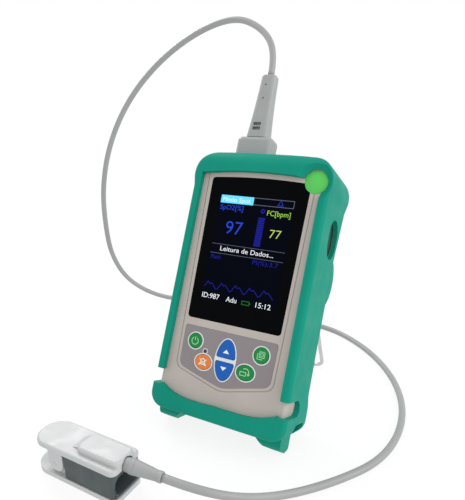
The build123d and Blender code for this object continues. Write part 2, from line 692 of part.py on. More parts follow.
def make_clip_top():
    plate = extrude(Pos(0, 0, CLIP_RIM_LOW) * clip_outline(), amount=CLIP_RIM_TOP - CLIP_RIM_LOW)
    plate = fillet(plate.faces().sort_by(Axis.Z)[-1].edges(), 1.3)
    under = Pos(0, 0, CLIP_RIM_LOW - 1.4) * clip_outline(1.6)
    plate += extrude(under, amount=1.5) & block((-60, -41.5), (-12, 12), (10, 20))
    plate -= thumb_dish()
    ridge = block((-25.5, 0), (-6.5, 6.5), (CLIP_RIM_TOP - 1.5, CLIP_RIDGE_TOP))
    ridge = fillet(ridge.edges().filter_by(Axis.Z), 3.2)
    ridge = fillet(ridge.faces().sort_by(Axis.Z)[-1].edges(), 1.5)
    wedge = [(-30.5, CLIP_RIM_TOP - 0.3), (-30.5, CLIP_RIM_TOP - 1.4), (-22, CLIP_RIM_TOP - 1.4),
             (-22, CLIP_RIDGE_TOP - 0.9)]
    side = Plane(origin=(0, 4.4, 0), x_dir=(1, 0, 0), z_dir=(0, -1, 0))
    ramp = extrude(side * make_face(Polyline(*wedge, close=True).edges()), amount=8.8)
    shell = plate + ridge + ramp
    for sign in (-1, 1):
        ends = sorted((sign * 7.7, sign * 9.4))
        shell += lug(ends[0], ends[1], CLIP_PIN[1], CLIP_RIM_LOW + 0.5)
    shell -= pin_hole(CLIP_PIN_R + PIN_PLAY)
    shell -= Pos(-5, 0, RELIEF_HEIGHT) * Rot(0, 90, 0) * Cylinder(3.85, 30)
    return shell - block((-20, 2), (-3.85, 3.85), (10, RELIEF_HEIGHT))


def make_clip_bottom():
    tray = extrude(clip_outline(), amount=CLIP_BASE)
    tray = fillet(tray.faces().sort_by(Axis.Z)[0].edges(), 0.9)
    for sign in (-1, 1):
        ends = sorted((sign * 5.7, sign * 7.4))
        tray += lug(ends[0], ends[1], CLIP_BASE - 0.5, CLIP_PIN[1])
    return tray - pin_hole(CLIP_PIN_R)


def finger_channel():
    """The rounded hollow between the two pads, flared at the mouth."""
    section = Pos(0, 8.9) * RectangleRounded(13.0, 7.4, 3.2)
    plane = Plane(origin=(-40, 0, 0), x_dir=(0, 1, 0), z_dir=(1, 0, 0))
    mouth = [Plane(origin=(x, 0, 0), x_dir=(0, 1, 0), z_dir=(1, 0, 0)) * (Pos(0, z) * RectangleRounded(wide, tall, 3.2))
             for x, z, wide, tall in ((-8, 8.9, 12.9, 7.3), (0.5, 8.7, 16.2, 9.6))]
    return extrude(plane * section, amount=60) + loft(mouth)


def make_clip_top_pad():
    pad = block((-30.4, -0.9), (-9.3, 9.3), (3.4, CLIP_RIM_LOW))
    pad = fillet(pad.edges().filter_by(Axis.Z).filter_by_position(Axis.X, -2, 0), 2.0)
    pad -= block((-40, 2), (-8.2, 8.2), (2, 9.2))
    pad -= finger_channel()
    pad -= block((-18.6, -13.4), (-2.6, 2.6), (12, 14.7))
    pad -= Pos(-5, 0, RELIEF_HEIGHT) * Rot(0, 90, 0) * Cylinder(3.4, 30)
    return pad - block((-33, -26.5), (-8.2, 8.2), (2, 17))


def make_clip_bottom_pad():
    pad = block((-26.5, -0.9), (-8.0, 8.0), (CLIP_BASE, 8.8))
    pad -= finger_channel()
    return pad - block((-18.6, -13.4), (-2.6, 2.6), (3.5, 6))


def make_clip_pin():
    x, z = CLIP_PIN
    return Pos(x, 0, z) * Rot(90, 0, 0) * Cylinder(CLIP_PIN_R, 18.6)


def make_clip_spring():
    """A torsion spring wound on the pin, with a leg to each half of the clip."""
    x, z = CLIP_PIN
    wire = 0.4
    radius = CLIP_PIN_R + 0.35 + wire
    coil = None
    for step in range(-6, 7):
        turn = Pos(x, 0.72 * step, z) * Rot(90, 0, 0) * Torus(radius, wire)
        coil = turn if coil is None else coil + turn
    upper = Pos(x + 3.6, 4.0, z + radius) * Rot(0, 90, 0) * Cylinder(wire, 7.2)
    lower = Pos(x + 3.6, -4.0, z - radius) * Rot(0, 90, 0) * Cylinder(wire, 7.2)
    return coil + upper + lower


def make_relief():
    """Tapered strain relief with a collar at its tip, drawn along X and then turned a little."""
    body = Pos(-1.5, 0, 0) * Rot(0, 90, 0) * Cylinder(3.3, 13.0)
    cone = Pos(RELIEF_END / 2 + 1.0, 0, 0) * Rot(0, 90, 0) * Cone(3.6, 2.35, RELIEF_END - 4.0)
    collar = Pos(RELIEF_END - 0.75, 0, 0) * Rot(0, 90, 0) * Cylinder(2.6, 2.5)
    collar = fillet(collar.edges(), 0.5)
    neck = Pos(3.3, 0, 0) * Rot(0, 90, 0) * Cylinder(3.6, 2.0)
    return body, neck + cone + collar


def relief_aim():
    """Where the strain relief points, in the clip's frame."""
    droop, yaw = math.radians(RELIEF_DROOP), math.radians(RELIEF_YAW)
    return Vector(math.cos(droop) * math.cos(yaw), math.sin(yaw), -math.sin(droop) * math.cos(yaw))


# ---------------------------------------------------------------- cord
def cord_points():
    """The cord's route from the plug, over and down to the table, round the unit and to the clip."""
    lean = math.radians(LEAN)
    up = Vector(0, math.sin(lean), math.cos(lean))
    inward = Vector(0, math.cos(lean), -math.sin(lean))
    start = Vector(UNIT_X + PLUG_X, UNIT_Y, DISPLAY_HEIGHT) + up * HANDLE_TOP + inward * PLUG_DEPTH
    seat = Vector(0, 0, RELIEF_HEIGHT)
    tip = place_clip(Pos(seat + relief_aim() * (RELIEF_END + 0.5))).position
    ahead = place_clip(Pos(relief_aim())).position - place_clip(Pos(0, 0, 0)).position
    route = [
        (-12, 91, 211), (-35, 100, 220), (-65, 101.5, 213), (-95, 98, 195), (-120, 93, 169),
        (-135, 87, 138), (-142, 84, 106), (-146, 88, 76), (-153, 100, 46), (-152, 117, 18.5), (-132, 130, 2.6),
        (-99, 135, CORD_R), (-59, 134, CORD_R), (-15, 137, CORD_R), (27, 139, CORD_R), (59, 120, CORD_R),
        (83, 92, CORD_R), (97, 61, CORD_R), (101, 30, CORD_R), (96, 2, CORD_R), (82, -20, CORD_R),
        (64, -40, CORD_R), (48, -58, 8.0),
    ]
    return [start, start + up * 15] + route + [tip + ahead * 15, tip]


def make_cord():
    points = [Vector(*point) for point in cord_points()]
    radii = []
    for before, here, after in zip(points, points[1:], points[2:]):
        turn = math.radians((here - before).get_angle(after - here))
        shorter = min((here - before).length, (after - here).length)
        radii.append(0.45 * shorter / math.tan(turn / 2))
    runs = [(b - a).length for a, b in zip(points, points[1:])]
    path = FilletPolyline(*points, radius=radii)
    tube = sweep(Plane(path @ 0, z_dir=path % 0) * Circle(CORD_R), path=path)
    ideal = math.pi * CORD_R ** 2 * path.length
    print("cord: length %.1f, volume ratio %.4f" % (path.length, tube.volume / ideal))
    print("cord radii:", [round(radius, 1) for radius in radii])
    print("cord runs:", [round(run, 1) for run in runs])
    print("cord points:", [(round(p.X, 2), round(p.Y, 2), round(p.Z, 2)) for p in points])
    return tube


# ---------------------------------------------------------------- assembly
def build_unit():
    outlines = key_outlines()
    unit = {
        "silicone_boot": make_boot(),
        "front_housing": make_front_housing(),
        "rear_housing": make_rear_housing(),
        "housing_screws": make_screws(),
        "display_window": make_window(),
        "lcd_module": make_lcd(),
        "keypad_overlay": make_overlay(),
        "key_rings": make_key_rings(),
        "status_led": make_status_led(),
        "dome_sheet": make_dome_sheet(),
        "alarm_lens": make_alarm_lens(),
        "alarm_led": make_alarm_led(),
        "main_board": make_main_board(),
        "board_components": make_board_parts(),
        "spo2_module": make_spo2_module(),
        "speaker": make_speaker(),
        "sensor_socket": make_socket(),
        "battery_cells": make_cells(),
        "battery_contacts": make_contacts(),
        "battery_cover": make_battery_cover(),
        "data_port": make_data_port(),
        "plug_hood": make_plug_hood(),
        "plug_handle": make_plug_handle(),
        "plug_shell": make_plug_shell(),
    }
    for name, outline in outlines.items():
        unit[name] = make_key(outline)
    for name, shape in unit.items():
        nodes[name] = place_unit(shape)
    nodes["silicone_boot"] -= block((-90, 90), (-90, 90), (-20, 0))
    nodes["bail_stand"] = make_bail()


def build_clip():
    core, sleeve = make_relief()
    droop = Pos(0, 0, RELIEF_HEIGHT) * Rot(0, RELIEF_DROOP, RELIEF_YAW)
    relief = (Pos(0, 0, RELIEF_HEIGHT) * core) + (droop * sleeve)
    clip = {
        "clip_top_shell": make_clip_top(),
        "clip_bottom_shell": make_clip_bottom(),
        "clip_top_pad": make_clip_top_pad(),
        "clip_bottom_pad": make_clip_bottom_pad(),
        "clip_hinge_pin": make_clip_pin(),
        "clip_spring": make_clip_spring(),
        "clip_emitter": block((-18.5, -13.5), (-2.5, 2.5), (12.7, 14.6)),
        "clip_detector": block((-18.5, -13.5), (-2.5, 2.5), (3.6, 5.1)),
        "clip_strain_relief": relief,
    }
    for name, shape in clip.items():
        nodes[name] = place_clip(shape)


build_unit()
build_clip()
nodes["sensor_cord"] = make_cord()

for name, shape in nodes.items():
    export_step(shape, "parts/" + name + ".step")

on_cord = ("sensor_cord", "plug_hood", "plug_handle", "plug_shell")
own = Compound(children=[shape for name, shape in nodes.items() if name not in on_cord]).bounding_box()
print("box without the cord: %s to %s" % (own.min, own.max))
print("nodes:", len(nodes))
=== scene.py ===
"""Looks of a handheld pulse oximeter in a silicone boot, on its wire stand, with a cabled finger clip."""

import math

import bmesh
import bpy
from mathutils import Matrix, Vector


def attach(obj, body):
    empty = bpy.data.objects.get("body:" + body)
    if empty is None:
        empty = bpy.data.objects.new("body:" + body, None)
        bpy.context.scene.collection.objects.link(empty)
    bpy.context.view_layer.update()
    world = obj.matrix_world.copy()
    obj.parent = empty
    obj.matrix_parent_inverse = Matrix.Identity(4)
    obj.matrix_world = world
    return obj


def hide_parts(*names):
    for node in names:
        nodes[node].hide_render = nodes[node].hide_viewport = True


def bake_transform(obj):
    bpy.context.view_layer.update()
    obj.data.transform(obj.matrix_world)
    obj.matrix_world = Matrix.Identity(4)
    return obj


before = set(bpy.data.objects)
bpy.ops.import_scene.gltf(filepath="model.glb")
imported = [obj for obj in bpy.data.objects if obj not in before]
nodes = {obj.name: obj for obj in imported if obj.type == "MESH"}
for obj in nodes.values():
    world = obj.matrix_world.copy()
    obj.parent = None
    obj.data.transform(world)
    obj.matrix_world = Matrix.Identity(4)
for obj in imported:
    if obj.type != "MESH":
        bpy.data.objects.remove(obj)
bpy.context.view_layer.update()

MM = 0.001
LEAN = math.radians(24.7)
UNIT_PLACE = Vector((15.275, 14.4, 96.3)) * MM         # middle of the display
UNIT = Matrix.Translation(UNIT_PLACE) @ Matrix.Rotation(-LEAN, 4, "X")

# On the unit's face X is to the right, Z up and Y into the unit, in mm from the middle of the display.
INK = 0.03                     # thickness of a printed or lit layer
PICTURE_FACE = -0.01           # just proud of the window
SYMBOL_FACE = -0.905           # just proud of the keys
CAPITAL_SHARE = 0.72           # a capital's height as a share of the font's size
MITRE_LIMIT = 0.35             # the sharpest corner of a line doesn't run out further than this allows
ARC_STEPS = 20

CAMERA_AZIMUTH = math.radians(27.28)
CAMERA_ELEVATION = math.radians(19.53)
CAMERA_PLACE = UNIT_PLACE + Vector((107.0, -223.77, 74.16)) * MM

TABLE_HALF = 6.0
FADE_FROM, FADE_TO = 0.12, 0.3         # distance from the origin over which the table turns white
PAPER_SHARE = 0.86                     # white at the object, where the table still takes shadows


def put(name, data):
    """A new object in the scene."""
    made = bpy.data.objects.new(name, data)
    bpy.context.scene.collection.objects.link(made)
    return made


def evaluated_mesh(holder):
    """A mesh of an object as its curves or modifiers make it."""
    bpy.context.view_layer.update()
    return bpy.data.meshes.new_from_object(holder.evaluated_get(bpy.context.evaluated_depsgraph_get()))


# ---------------------------------------------------------------- camera, table and light
def make_camera():
    level = math.cos(CAMERA_ELEVATION)
    right = Vector((math.cos(CAMERA_AZIMUTH), math.sin(CAMERA_AZIMUTH), 0))
    back = Vector((math.sin(CAMERA_AZIMUTH) * level, -math.cos(CAMERA_AZIMUTH) * level, math.sin(CAMERA_ELEVATION)))
    up = back.cross(right)
    data = bpy.data.cameras.new("camera")
    camera = put("camera", data)
    camera.matrix_world = Matrix.Translation(CAMERA_PLACE) @ Matrix((right, up, back)).transposed().to_4x4()
    data.sensor_width = 36
    data.lens = 35.54
    data.shift_y = 0.05
    data.clip_start = 0.01
    data.clip_end = 20
    bpy.context.scene.camera = camera


def area_light(name, place, aim, size, power):
    data = bpy.data.lights.new(name, "AREA")
    data.shape = "SQUARE"
    data.size = size
    data.energy = power
    light = put(name, data)
    light.location = place
    light.rotation_mode = "QUATERNION"
    light.rotation_quaternion = (Vector(aim) - Vector(place)).to_track_quat("-Z", "Y")


def make_world():
    world = bpy.data.worlds.new("studio")
    bpy.context.scene.world = world
    world.use_nodes = True
    backdrop = world.node_tree.nodes["Background"]
    backdrop.inputs["Color"].default_value = (1, 1, 1, 1)
    backdrop.inputs["Strength"].default_value = 1.0
    area_light("key_light", (0.95, 0.05, 0.55), (0, 0, 0.08), 0.6, 4.0)
    area_light("top_light", (-0.55, 0.35, 0.6), (0, -0.03, 0.03), 0.3, 2.6)
    bpy.context.scene.view_settings.view_transform = "Standard"


def make_table():
    """A pale table that fades into the white of the studio away from the object."""
    surface = bpy.data.materials.new("table_top")
    surface.use_nodes = True
    tree = surface.node_tree
    shader = tree.nodes["Principled BSDF"]
    shader.inputs["Base Color"].default_value = (0.9, 0.9, 0.9, 1)
    shader.inputs["Roughness"].default_value = 0.7
    shader.inputs["Specular IOR Level"].default_value = 0.1
    place = tree.nodes.new("ShaderNodeTexCoord")
    reach = tree.nodes.new("ShaderNodeVectorMath")
    reach.operation = "LENGTH"
    fade = tree.nodes.new("ShaderNodeMapRange")
    fade.inputs["From Min"].default_value = FADE_FROM
    fade.inputs["From Max"].default_value = FADE_TO
    fade.inputs["To Min"].default_value = PAPER_SHARE
    paper = tree.nodes.new("ShaderNodeEmission")
    blend = tree.nodes.new("ShaderNodeMixShader")
    for start, end in (
        (place.outputs["Object"], reach.inputs[0]), (reach.outputs["Value"], fade.inputs["Value"]),
        (fade.outputs["Result"], blend.inputs[0]), (shader.outputs["BSDF"], blend.inputs[1]),
        (paper.outputs["Emission"], blend.inputs[2]),
        (blend.outputs["Shader"], tree.nodes["Material Output"].inputs["Surface"]),
    ):
        tree.links.new(start, end)
    mesh = bpy.data.meshes.new("table")
    corners = [(x * TABLE_HALF, y * TABLE_HALF, 0) for x, y in ((-1, -1), (1, -1), (1, 1), (-1, 1))]
    mesh.from_pydata(corners, [], [(0, 1, 2, 3)])
    mesh.materials.append(surface)
    table = put("table", mesh)


# ---------------------------------------------------------------- shared shader effects
def new_group(name, inputs, outputs):
    """A shader node group with named sockets; returns the tree, its input node and its output node."""
    tree = bpy.data.node_groups.new(name, "ShaderNodeTree")
    for label, kind, value in inputs:
        socket = tree.interface.new_socket(label, in_out="INPUT", socket_type=kind)
        socket.default_value = value
    for label, kind in outputs:
        tree.interface.new_socket(label, in_out="OUTPUT", socket_type=kind)
    return tree, tree.nodes.new("NodeGroupInput"), tree.nodes.new("NodeGroupOutput")


def math_node(tree, operation, *values):
    node = tree.nodes.new("ShaderNodeMath")
    node.operation = operation
    for socket, value in zip(node.inputs, values):
        if isinstance(value, (int, float)):
            socket.default_value = value
        else:
            tree.links.new(value, socket)
    return node.outputs[0]


def noise_node(tree, scale=None, **settings):
    """Noise over the object's own coordinates; its scale can be another node's output."""
    place = tree.nodes.new("ShaderNodeTexCoord")
    noise = tree.nodes.new("ShaderNodeTexNoise")
    for label, value in settings.items():
        noise.inputs[label].default_value = value
    tree.links.new(place.outputs["Object"], noise.inputs["Vector"])
    if scale:
        tree.links.new(scale, noise.inputs["Scale"])
    return noise.outputs["Fac"]


def spread_node(tree, value, low, high):
    """A noise's middle range stretched out to the whole of 0 to 1."""
    spread = tree.nodes.new("ShaderNodeMapRange")
    spread.inputs["From Min"].default_value = low
    spread.inputs["From Max"].default_value = high
    tree.links.new(value, spread.inputs["Value"])
    return spread


def make_grain_group():
    """Fine texture of a mould's skin, with a slower unevenness under it."""
    tree, given, result = new_group(
        "mould_grain",
        [("Grain Scale", "NodeSocketFloat", 2500.0), ("Wave Share", "NodeSocketFloat", 0.4)],
        [("Height", "NodeSocketFloat")],
    )
    slow_scale = math_node(tree, "MULTIPLY", given.outputs["Grain Scale"], 0.06)
    fine = noise_node(tree, given.outputs["Grain Scale"], Detail=2.0)
    slow = noise_node(tree, slow_scale, Detail=1.0)
    waves = math_node(tree, "MULTIPLY", slow, given.outputs["Wave Share"])
    tree.links.new(math_node(tree, "ADD", fine, waves), result.inputs["Height"])
    return tree


def make_tone_group():
    """Slow drift between two tones of one colour, with a faint speckle."""
    tree, given, result = new_group(
        "tone_drift",
        [("Light", "NodeSocketColor", (1, 1, 1, 1)), ("Dark", "NodeSocketColor", (0.5, 0.5, 0.5, 1)),
         ("Patch Scale", "NodeSocketFloat", 60.0), ("Speckle", "NodeSocketFloat", 0.15)],
        [("Color", "NodeSocketColor")],
    )
    patch = noise_node(tree, given.outputs["Patch Scale"], Detail=3.0)
    speck = noise_node(tree, Scale=1800.0)
    spread = spread_node(tree, patch, 0.3, 0.7)
    flecks = math_node(tree, "MULTIPLY", speck, given.outputs["Speckle"])
    share = math_node(tree, "ADD", math_node(tree, "MULTIPLY", spread.outputs["Result"], 0.7), flecks)
    mix = tree.nodes.new("ShaderNodeMix")
    mix.data_type = "RGBA"
    tree.links.new(share, mix.inputs["Factor"])
    tree.links.new(given.outputs["Dark"], mix.inputs[6])
    tree.links.new(given.outputs["Light"], mix.inputs[7])
    tree.links.new(mix.outputs[2], result.inputs["Color"])
    return tree


def make_handling_group():
    """Roughness that varies where a surface has been handled and wiped."""
    tree, given, result = new_group(
        "handling",
        [("Clean", "NodeSocketFloat", 0.4), ("Worn", "NodeSocketFloat", 0.6), ("Patch Scale", "NodeSocketFloat", 90.0)],
        [("Roughness", "NodeSocketFloat")],
    )
    smear = noise_node(tree, given.outputs["Patch Scale"], Detail=4.0, Distortion=0.6)
    spread = spread_node(tree, smear, 0.35, 0.65)
    tree.links.new(given.outputs["Clean"], spread.inputs["To Min"])
    tree.links.new(given.outputs["Worn"], spread.inputs["To Max"])
    tree.links.new(spread.outputs["Result"], result.inputs["Roughness"])
    return tree


GRAIN = make_grain_group()
TONE = make_tone_group()
HANDLING = make_handling_group()


def group_node(tree, group, **values):
    """One of the shared effects in a material, with its constant inputs."""
    node = tree.nodes.new("ShaderNodeGroup")
    node.node_tree = group
    for label, value in values.items():
        node.inputs[label.replace("_", " ")].default_value = value
    return node


def finish(name, light, dark, rough=(0.4, 0.55), grain=2500, depth=0.00002, patch=60, **sockets):
    """One moulded or pressed surface: drifting tone, uneven gloss and a fine skin."""
    material = bpy.data.materials.new(name)
    material.use_nodes = True
    tree = material.node_tree
    shader = tree.nodes["Principled BSDF"]
    tone = group_node(tree, TONE, Light=(*light, 1), Dark=(*dark, 1), Patch_Scale=patch)
    tree.links.new(tone.outputs["Color"], shader.inputs["Base Color"])
    gloss = group_node(tree, HANDLING, Clean=rough[0], Worn=rough[1])
    tree.links.new(gloss.outputs["Roughness"], shader.inputs["Roughness"])
    skin = group_node(tree, GRAIN, Grain_Scale=grain)
    bump = tree.nodes.new("ShaderNodeBump")
    bump.inputs["Distance"].default_value = depth
    bump.inputs["Strength"].default_value = 1.0
    tree.links.new(skin.outputs["Height"], bump.inputs["Height"])
    tree.links.new(bump.outputs["Normal"], shader.inputs["Normal"])
    for label, value in sockets.items():
        shader.inputs[label.replace("_", " ")].default_value = value
    return material


def lit_ink(name, colour, strength):
    """A part of the display that gives light, under the gloss of the window."""
    light = tuple(0.5 * part for part in colour)
    dark = tuple(0.4 * part for part in colour)
    return finish(name, light, dark, rough=(0.12, 0.2), grain=4000, depth=0.000002, Specular_IOR_Level=0.025,
                  Emission_Color=(*colour, 1), Emission_Strength=strength)


def make_materials():
    return {
        "boot": finish("boot_silicone", (0.008, 0.272, 0.194), (0.006, 0.242, 0.170), rough=(0.45, 0.58), grain=1500,
                       depth=0.00003, patch=35, Specular_IOR_Level=0.05),
        "housing": finish("housing_plastic", (0.475, 0.43, 0.395), (0.44, 0.395, 0.365), rough=(0.45, 0.58),
                          grain=2600, depth=0.00002, Specular_IOR_Level=0.35),
        "window": finish("window_black", (0.0015, 0.0017, 0.0025), (0.001, 0.0012, 0.0018), rough=(0.1, 0.16),
                         grain=800, depth=0.000002, Specular_IOR_Level=0.025),
        "keypad": finish("keypad_film", (0.245, 0.215, 0.225), (0.225, 0.195, 0.205), rough=(0.38, 0.5), grain=3500,
                         depth=0.00001),
        "key_green": finish("key_green", (0.004, 0.235, 0.045), (0.003, 0.205, 0.038), rough=(0.35, 0.45), grain=3500,
                            Specular_IOR_Level=0.25),
        "key_orange": finish("key_orange", (0.74, 0.20, 0.025), (0.68, 0.17, 0.02), rough=(0.35, 0.45), grain=3500),
        "key_blue": finish("key_blue", (0.002, 0.105, 0.46), (0.002, 0.092, 0.41), rough=(0.35, 0.45), grain=3500,
                           Specular_IOR_Level=0.25),
        "ring": finish("ring_white", (0.72, 0.76, 0.76), (0.66, 0.70, 0.70), rough=(0.4, 0.5)),
        "symbol": finish("symbol_white", (0.78, 0.86, 0.82), (0.72, 0.8, 0.76), rough=(0.4, 0.5)),
        "symbol_green": finish("symbol_green", (0.36, 0.70, 0.42), (0.32, 0.64, 0.38), rough=(0.4, 0.5)),
        "led": finish("light_dark", (0.05, 0.02, 0.06), (0.03, 0.012, 0.04), rough=(0.2, 0.3)),
        "lens": finish("alarm_lens_green", (0.07, 0.50, 0.075), (0.06, 0.45, 0.065), rough=(0.3, 0.4), grain=1200,
                       depth=0.00001, Subsurface_Weight=0.25, Subsurface_Scale=0.003,
                       Emission_Color=(0.12, 0.62, 0.1, 1), Emission_Strength=0.12),
        "board": finish("board_mask", (0.02, 0.16, 0.06), (0.015, 0.12, 0.045), rough=(0.3, 0.4)),
        "chip": finish("chip_black", (0.03, 0.03, 0.033), (0.02, 0.02, 0.022), rough=(0.45, 0.6)),
        "steel": finish("wire_steel", (0.63, 0.63, 0.62), (0.50, 0.50, 0.50), rough=(0.22, 0.36), grain=1200,
                        depth=0.00001, Metallic=1.0),
        "screw": finish("screw_zinc", (0.50, 0.50, 0.49), (0.38, 0.38, 0.37), rough=(0.3, 0.45), Metallic=1.0),
        "cell": finish("cell_jacket", (0.05, 0.06, 0.07), (0.035, 0.04, 0.05), rough=(0.2, 0.3)),
        "socket": finish("socket_black", (0.03, 0.03, 0.032), (0.02, 0.02, 0.022), rough=(0.4, 0.55)),
        # The data port's insert is dark plastic, coloured with the boot's green darkened to match the shade deep in the
        # side slot. Its colour is partly painted shade.
        "port": finish("port_insert_painted_shade", (0.004, 0.075, 0.045), (0.003, 0.06, 0.036), rough=(0.5, 0.65)),
        "plug": finish("plug_grey", (0.34, 0.352, 0.35), (0.30, 0.312, 0.31), rough=(0.42, 0.55), grain=2200),
        "cord": finish("cord_jacket", (0.33, 0.335, 0.33), (0.29, 0.297, 0.292), rough=(0.38, 0.5), grain=1800,
                       depth=0.00001, patch=25),
        "clip": finish("clip_shell", (0.50, 0.51, 0.513), (0.465, 0.475, 0.478), rough=(0.35, 0.48), grain=2400),
        "pad": finish("clip_pad", (0.056, 0.072, 0.075), (0.046, 0.06, 0.062), rough=(0.5, 0.65), grain=1600,
                      depth=0.00003),
        "optic": finish("optic_resin", (0.5, 0.12, 0.08), (0.4, 0.09, 0.06), rough=(0.1, 0.2)),
        "ink_backlight": lit_ink("ink_backlight", (0.0006, 0.0013, 0.006), 0.4),
        "ink_cyan": lit_ink("ink_cyan", (0.13, 0.66, 0.95), 0.75),
        "ink_white": lit_ink("ink_white", (0.72, 0.76, 0.80), 0.8),
        "ink_blue": lit_ink("ink_blue", (0.02, 0.06, 0.62), 0.6),
        "ink_violet": lit_ink("ink_violet", (0.012, 0.014, 0.26), 0.6),
        "ink_green": lit_ink("ink_green", (0.30, 0.58, 0.06), 0.7),
        "ink_yellow": lit_ink("ink_yellow", (0.42, 0.58, 0.12), 0.7),
        "ink_line": lit_ink("ink_line", (0.14, 0.14, 0.20), 0.5),
        "ink_leaf": lit_ink("ink_leaf", (0.012, 0.13, 0.012), 0.6),
    }


MATERIALS = make_materials()

NODE_FINISH = {
    "silicone_boot": "boot", "front_housing": "housing", "rear_housing": "housing", "housing_screws": "screw",
    "display_window": "window", "lcd_module": "window", "keypad_overlay": "keypad", "key_rings": "ring",
    "key_power": "key_green", "key_display": "key_green", "key_menu": "key_green", "key_alarm_mute": "key_orange",
    "key_up": "key_blue", "key_down": "key_blue", "status_led": "led", "dome_sheet": "chip",
    "alarm_lens": "lens", "alarm_led": "optic", "main_board": "board", "board_components": "chip",
    "spo2_module": "board", "speaker": "chip", "sensor_socket": "socket", "battery_cells": "cell",
    "battery_contacts": "steel", "battery_cover": "housing", "data_port": "port", "plug_hood": "plug",
    "plug_handle": "plug", "plug_shell": "steel", "bail_stand": "steel", "clip_top_shell": "clip",
    "clip_bottom_shell": "clip", "clip_top_pad": "pad", "clip_bottom_pad": "pad", "clip_hinge_pin": "steel",
    "clip_spring": "steel", "clip_emitter": "optic", "clip_detector": "chip", "clip_strain_relief": "plug",
    "sensor_cord": "cord",
}


def dress_nodes():
    for name, finish_name in NODE_FINISH.items():
        mesh = nodes[name].data
        mesh.materials.clear()
        mesh.materials.append(MATERIALS[finish_name])


# ---------------------------------------------------------------- flat layers
class Layer:
    """Thin printed or lit shapes on one face, gathered into one mesh."""

    def __init__(self, name, place):
        self.name = name
        self.place = place
        self.mesh = bmesh.new()
        self.used = []

    def index(self, material):
        if material not in self.used:
            self.used.append(material)
        return self.used.index(material)

    def shape(self, points, material, depth):
        """A closed outline in mm, anticlockwise as seen from the front, standing out of the face."""
        slot = self.index(material)
        front = [self.mesh.verts.new((x * MM, (depth - INK) * MM, z * MM)) for x, z in points]
        back = [self.mesh.verts.new((x * MM, depth * MM, z * MM)) for x, z in points]
        faces = [self.mesh.faces.new(front), self.mesh.faces.new(back[::-1])]
        count = len(points)
        for i in range(count):
            j = (i + 1) % count
            faces.append(self.mesh.faces.new((front[i], back[i], back[j], front[j])))
        for face in faces:
            face.material_index = slot

    def box(self, x, z, material, depth):
        self.shape([(x[0], z[0]), (x[1], z[0]), (x[1], z[1]), (x[0], z[1])], material, depth)

    def stroke(self, points, width, material, depth, closed=False):
        """A line of even width through points, mitred at its corners."""
        count = len(points)
        left, right = [], []
        for i, (x, z) in enumerate(points):
            before = points[i - 1] if i or closed else points[i]
            after = points[(i + 1) % count] if i < count - 1 or closed else points[i]
            first = Vector((x - before[0], z - before[1]))
            second = Vector((after[0] - x, after[1] - z))
            first = first.normalized() if first.length else second.normalized()
            second = second.normalized() if second.length else first
            middle = (first + second).normalized()
            normal = Vector((-middle.y, middle.x))
            reach = width / 2 / max(MITRE_LIMIT, normal.dot(Vector((-first.y, first.x))))
            left.append((x + normal.x * reach, z + normal.y * reach))
            right.append((x - normal.x * reach, z - normal.y * reach))
        for i in range(count if closed else count - 1):
            j = (i + 1) % count
            self.shape([right[i], right[j], left[j], left[i]], material, depth)

    def arc(self, centre, radius, start, end, width, material, depth):
        """A line of even width along a circle, between two angles in degrees."""
        angles = [math.radians(start + (end - start) * i / ARC_STEPS) for i in range(ARC_STEPS + 1)]
        points = [(centre[0] + radius * math.cos(a), centre[1] + radius * math.sin(a)) for a in angles]
        closed = abs(end - start) >= 360
        self.stroke(points[:-1] if closed else points, width, material, depth, closed)

    def text(self, words, height, x, z, material, depth, width=1.0, weight=0.0):
        """Words with their left end at x and their foot at z; height is a capital's."""
        data = bpy.data.curves.new("words", "FONT")
        data.body = words
        data.size = height / CAPITAL_SHARE
        data.offset = weight
        data.extrude = INK / 2
        data.resolution_u = 3
        holder = put("words", data)
        mesh = evaluated_mesh(holder)
        slot = self.index(material)
        verts_before = len(self.mesh.verts)
        faces_before = len(self.mesh.faces)
        self.mesh.from_mesh(mesh)
        self.mesh.verts.ensure_lookup_table()
        self.mesh.faces.ensure_lookup_table()
        for vertex in self.mesh.verts[verts_before:]:
            a, b, c = vertex.co
            vertex.co = ((x + a * width) * MM, (depth - INK / 2 - c) * MM, (z + b) * MM)
        for face in self.mesh.faces[faces_before:]:
            face.material_index = slot
        bpy.data.objects.remove(holder)
        bpy.data.curves.remove(data)
        bpy.data.meshes.remove(mesh)

    def build(self, body):
        bmesh.ops.recalc_face_normals(self.mesh, faces=self.mesh.faces)
        self.mesh.transform(self.place)
        mesh = bpy.data.meshes.new(self.name)
        self.mesh.to_mesh(mesh)
        self.mesh.free()
        for material in self.used:
            mesh.materials.append(MATERIALS[material])
        piece = put(self.name, mesh)
        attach(piece, body)


